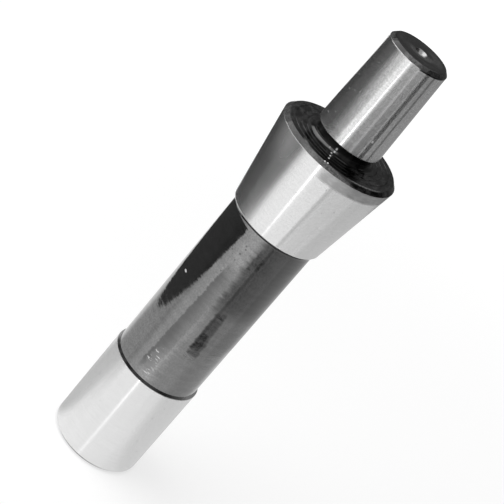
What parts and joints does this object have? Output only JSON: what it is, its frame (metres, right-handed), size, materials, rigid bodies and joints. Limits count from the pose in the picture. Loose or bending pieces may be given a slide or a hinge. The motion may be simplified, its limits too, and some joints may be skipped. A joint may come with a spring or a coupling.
{
  "type": "drill chuck arbor",
  "caption": "Turned steel arbor for a milling machine: a keyed spindle shank with a steep cone and tapped rear bore, a necked flange and a short taper that takes a drill chuck.",
  "frame": {"origin": "centre of the drawbar end's face, on the arbor's axis, where the arbor stands", "axes": "+Z along the axis, from the drawbar end towards the chuck taper; +Y towards the side that carries the keyway"},
  "size_m": [0.0318, 0.0318, 0.1312],
  "materials": {
    "steel": "ground bright on the bearing and both tapers, black oxide on the body, the neck and the faces"
  },
  "bodies": {
    "root": {"arbor": "steel"}
  },
  "joints": []
}
